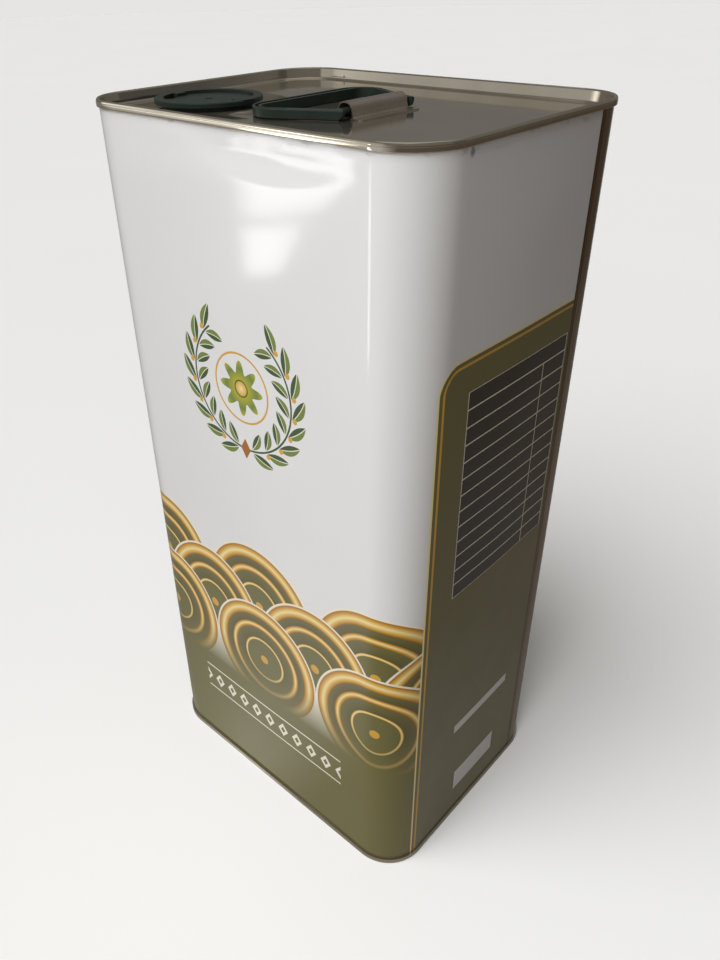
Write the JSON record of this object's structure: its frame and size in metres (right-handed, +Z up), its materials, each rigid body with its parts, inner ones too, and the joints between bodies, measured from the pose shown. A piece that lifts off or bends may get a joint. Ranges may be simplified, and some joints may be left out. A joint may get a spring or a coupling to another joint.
{
  "type": "oil tin with pull-up spout",
  "caption": "Rectangular rounded-corner oil tin with double-seamed ends, a fold-flat carry handle under a welded strap and a pull-up pouring spout under a flat cap with lift-up bails.",
  "frame": {"origin": "middle of the base, on the surface that the tin stands on", "axes": "+Z up; the wide front wall faces -Y, +X to the right of it"},
  "size_m": [0.154, 0.118, 0.3129],
  "materials": {
    "printed_tinplate": "glossy lacquered print",
    "bare_tinplate": "bright tinned steel",
    "strap_steel": "dull tinned steel",
    "seam_compound": "matt",
    "handle_plastic": "satin moulded",
    "closure_plastic": "satin moulded"
  },
  "bodies": {
    "tin": {"body_shell": "printed_tinplate", "top_end": "bare_tinplate", "bottom_end": "bare_tinplate", "top_seam_compound": "seam_compound", "bottom_seam_compound": "seam_compound", "handle_strap": "strap_steel", "spout_collar": "closure_plastic"},
    "handle": {"carry_handle": "handle_plastic"},
    "spout": {"pour_spout": "closure_plastic"},
    "cap": {"spout_cap": "closure_plastic"},
    "bail_front": {"pull_bail_front": "closure_plastic"},
    "bail_rear": {"pull_bail_rear": "closure_plastic"}
  },
  "joints": [
    {"name": "handle_swing", "type": "hinge", "parent": "tin", "child": "handle", "pos_m": [0.01495, -0.0041, 0.31057], "axis": [0, 1, 0], "range_deg": [0, 180]},
    {"name": "spout_pull", "type": "slide", "parent": "tin", "child": "spout", "axis": [0, 0, 1], "range_m": [0, 0.021]},
    {"name": "cap_lift", "type": "slide", "parent": "spout", "child": "cap", "axis": [0, 0, 1], "range_m": [0, 0.04]},
    {"name": "bail_front_lift", "type": "hinge", "parent": "cap", "child": "bail_front", "pos_m": [-0.04678, -0.02504, 0.31075], "axis": [-0.9962, -0.0872, 0], "range_deg": [0, 90]},
    {"name": "bail_rear_lift", "type": "hinge", "parent": "cap", "child": "bail_rear", "pos_m": [-0.04722, -0.01996, 0.31075], "axis": [0.9962, 0.0872, 0], "range_deg": [0, 90]}
  ]
}
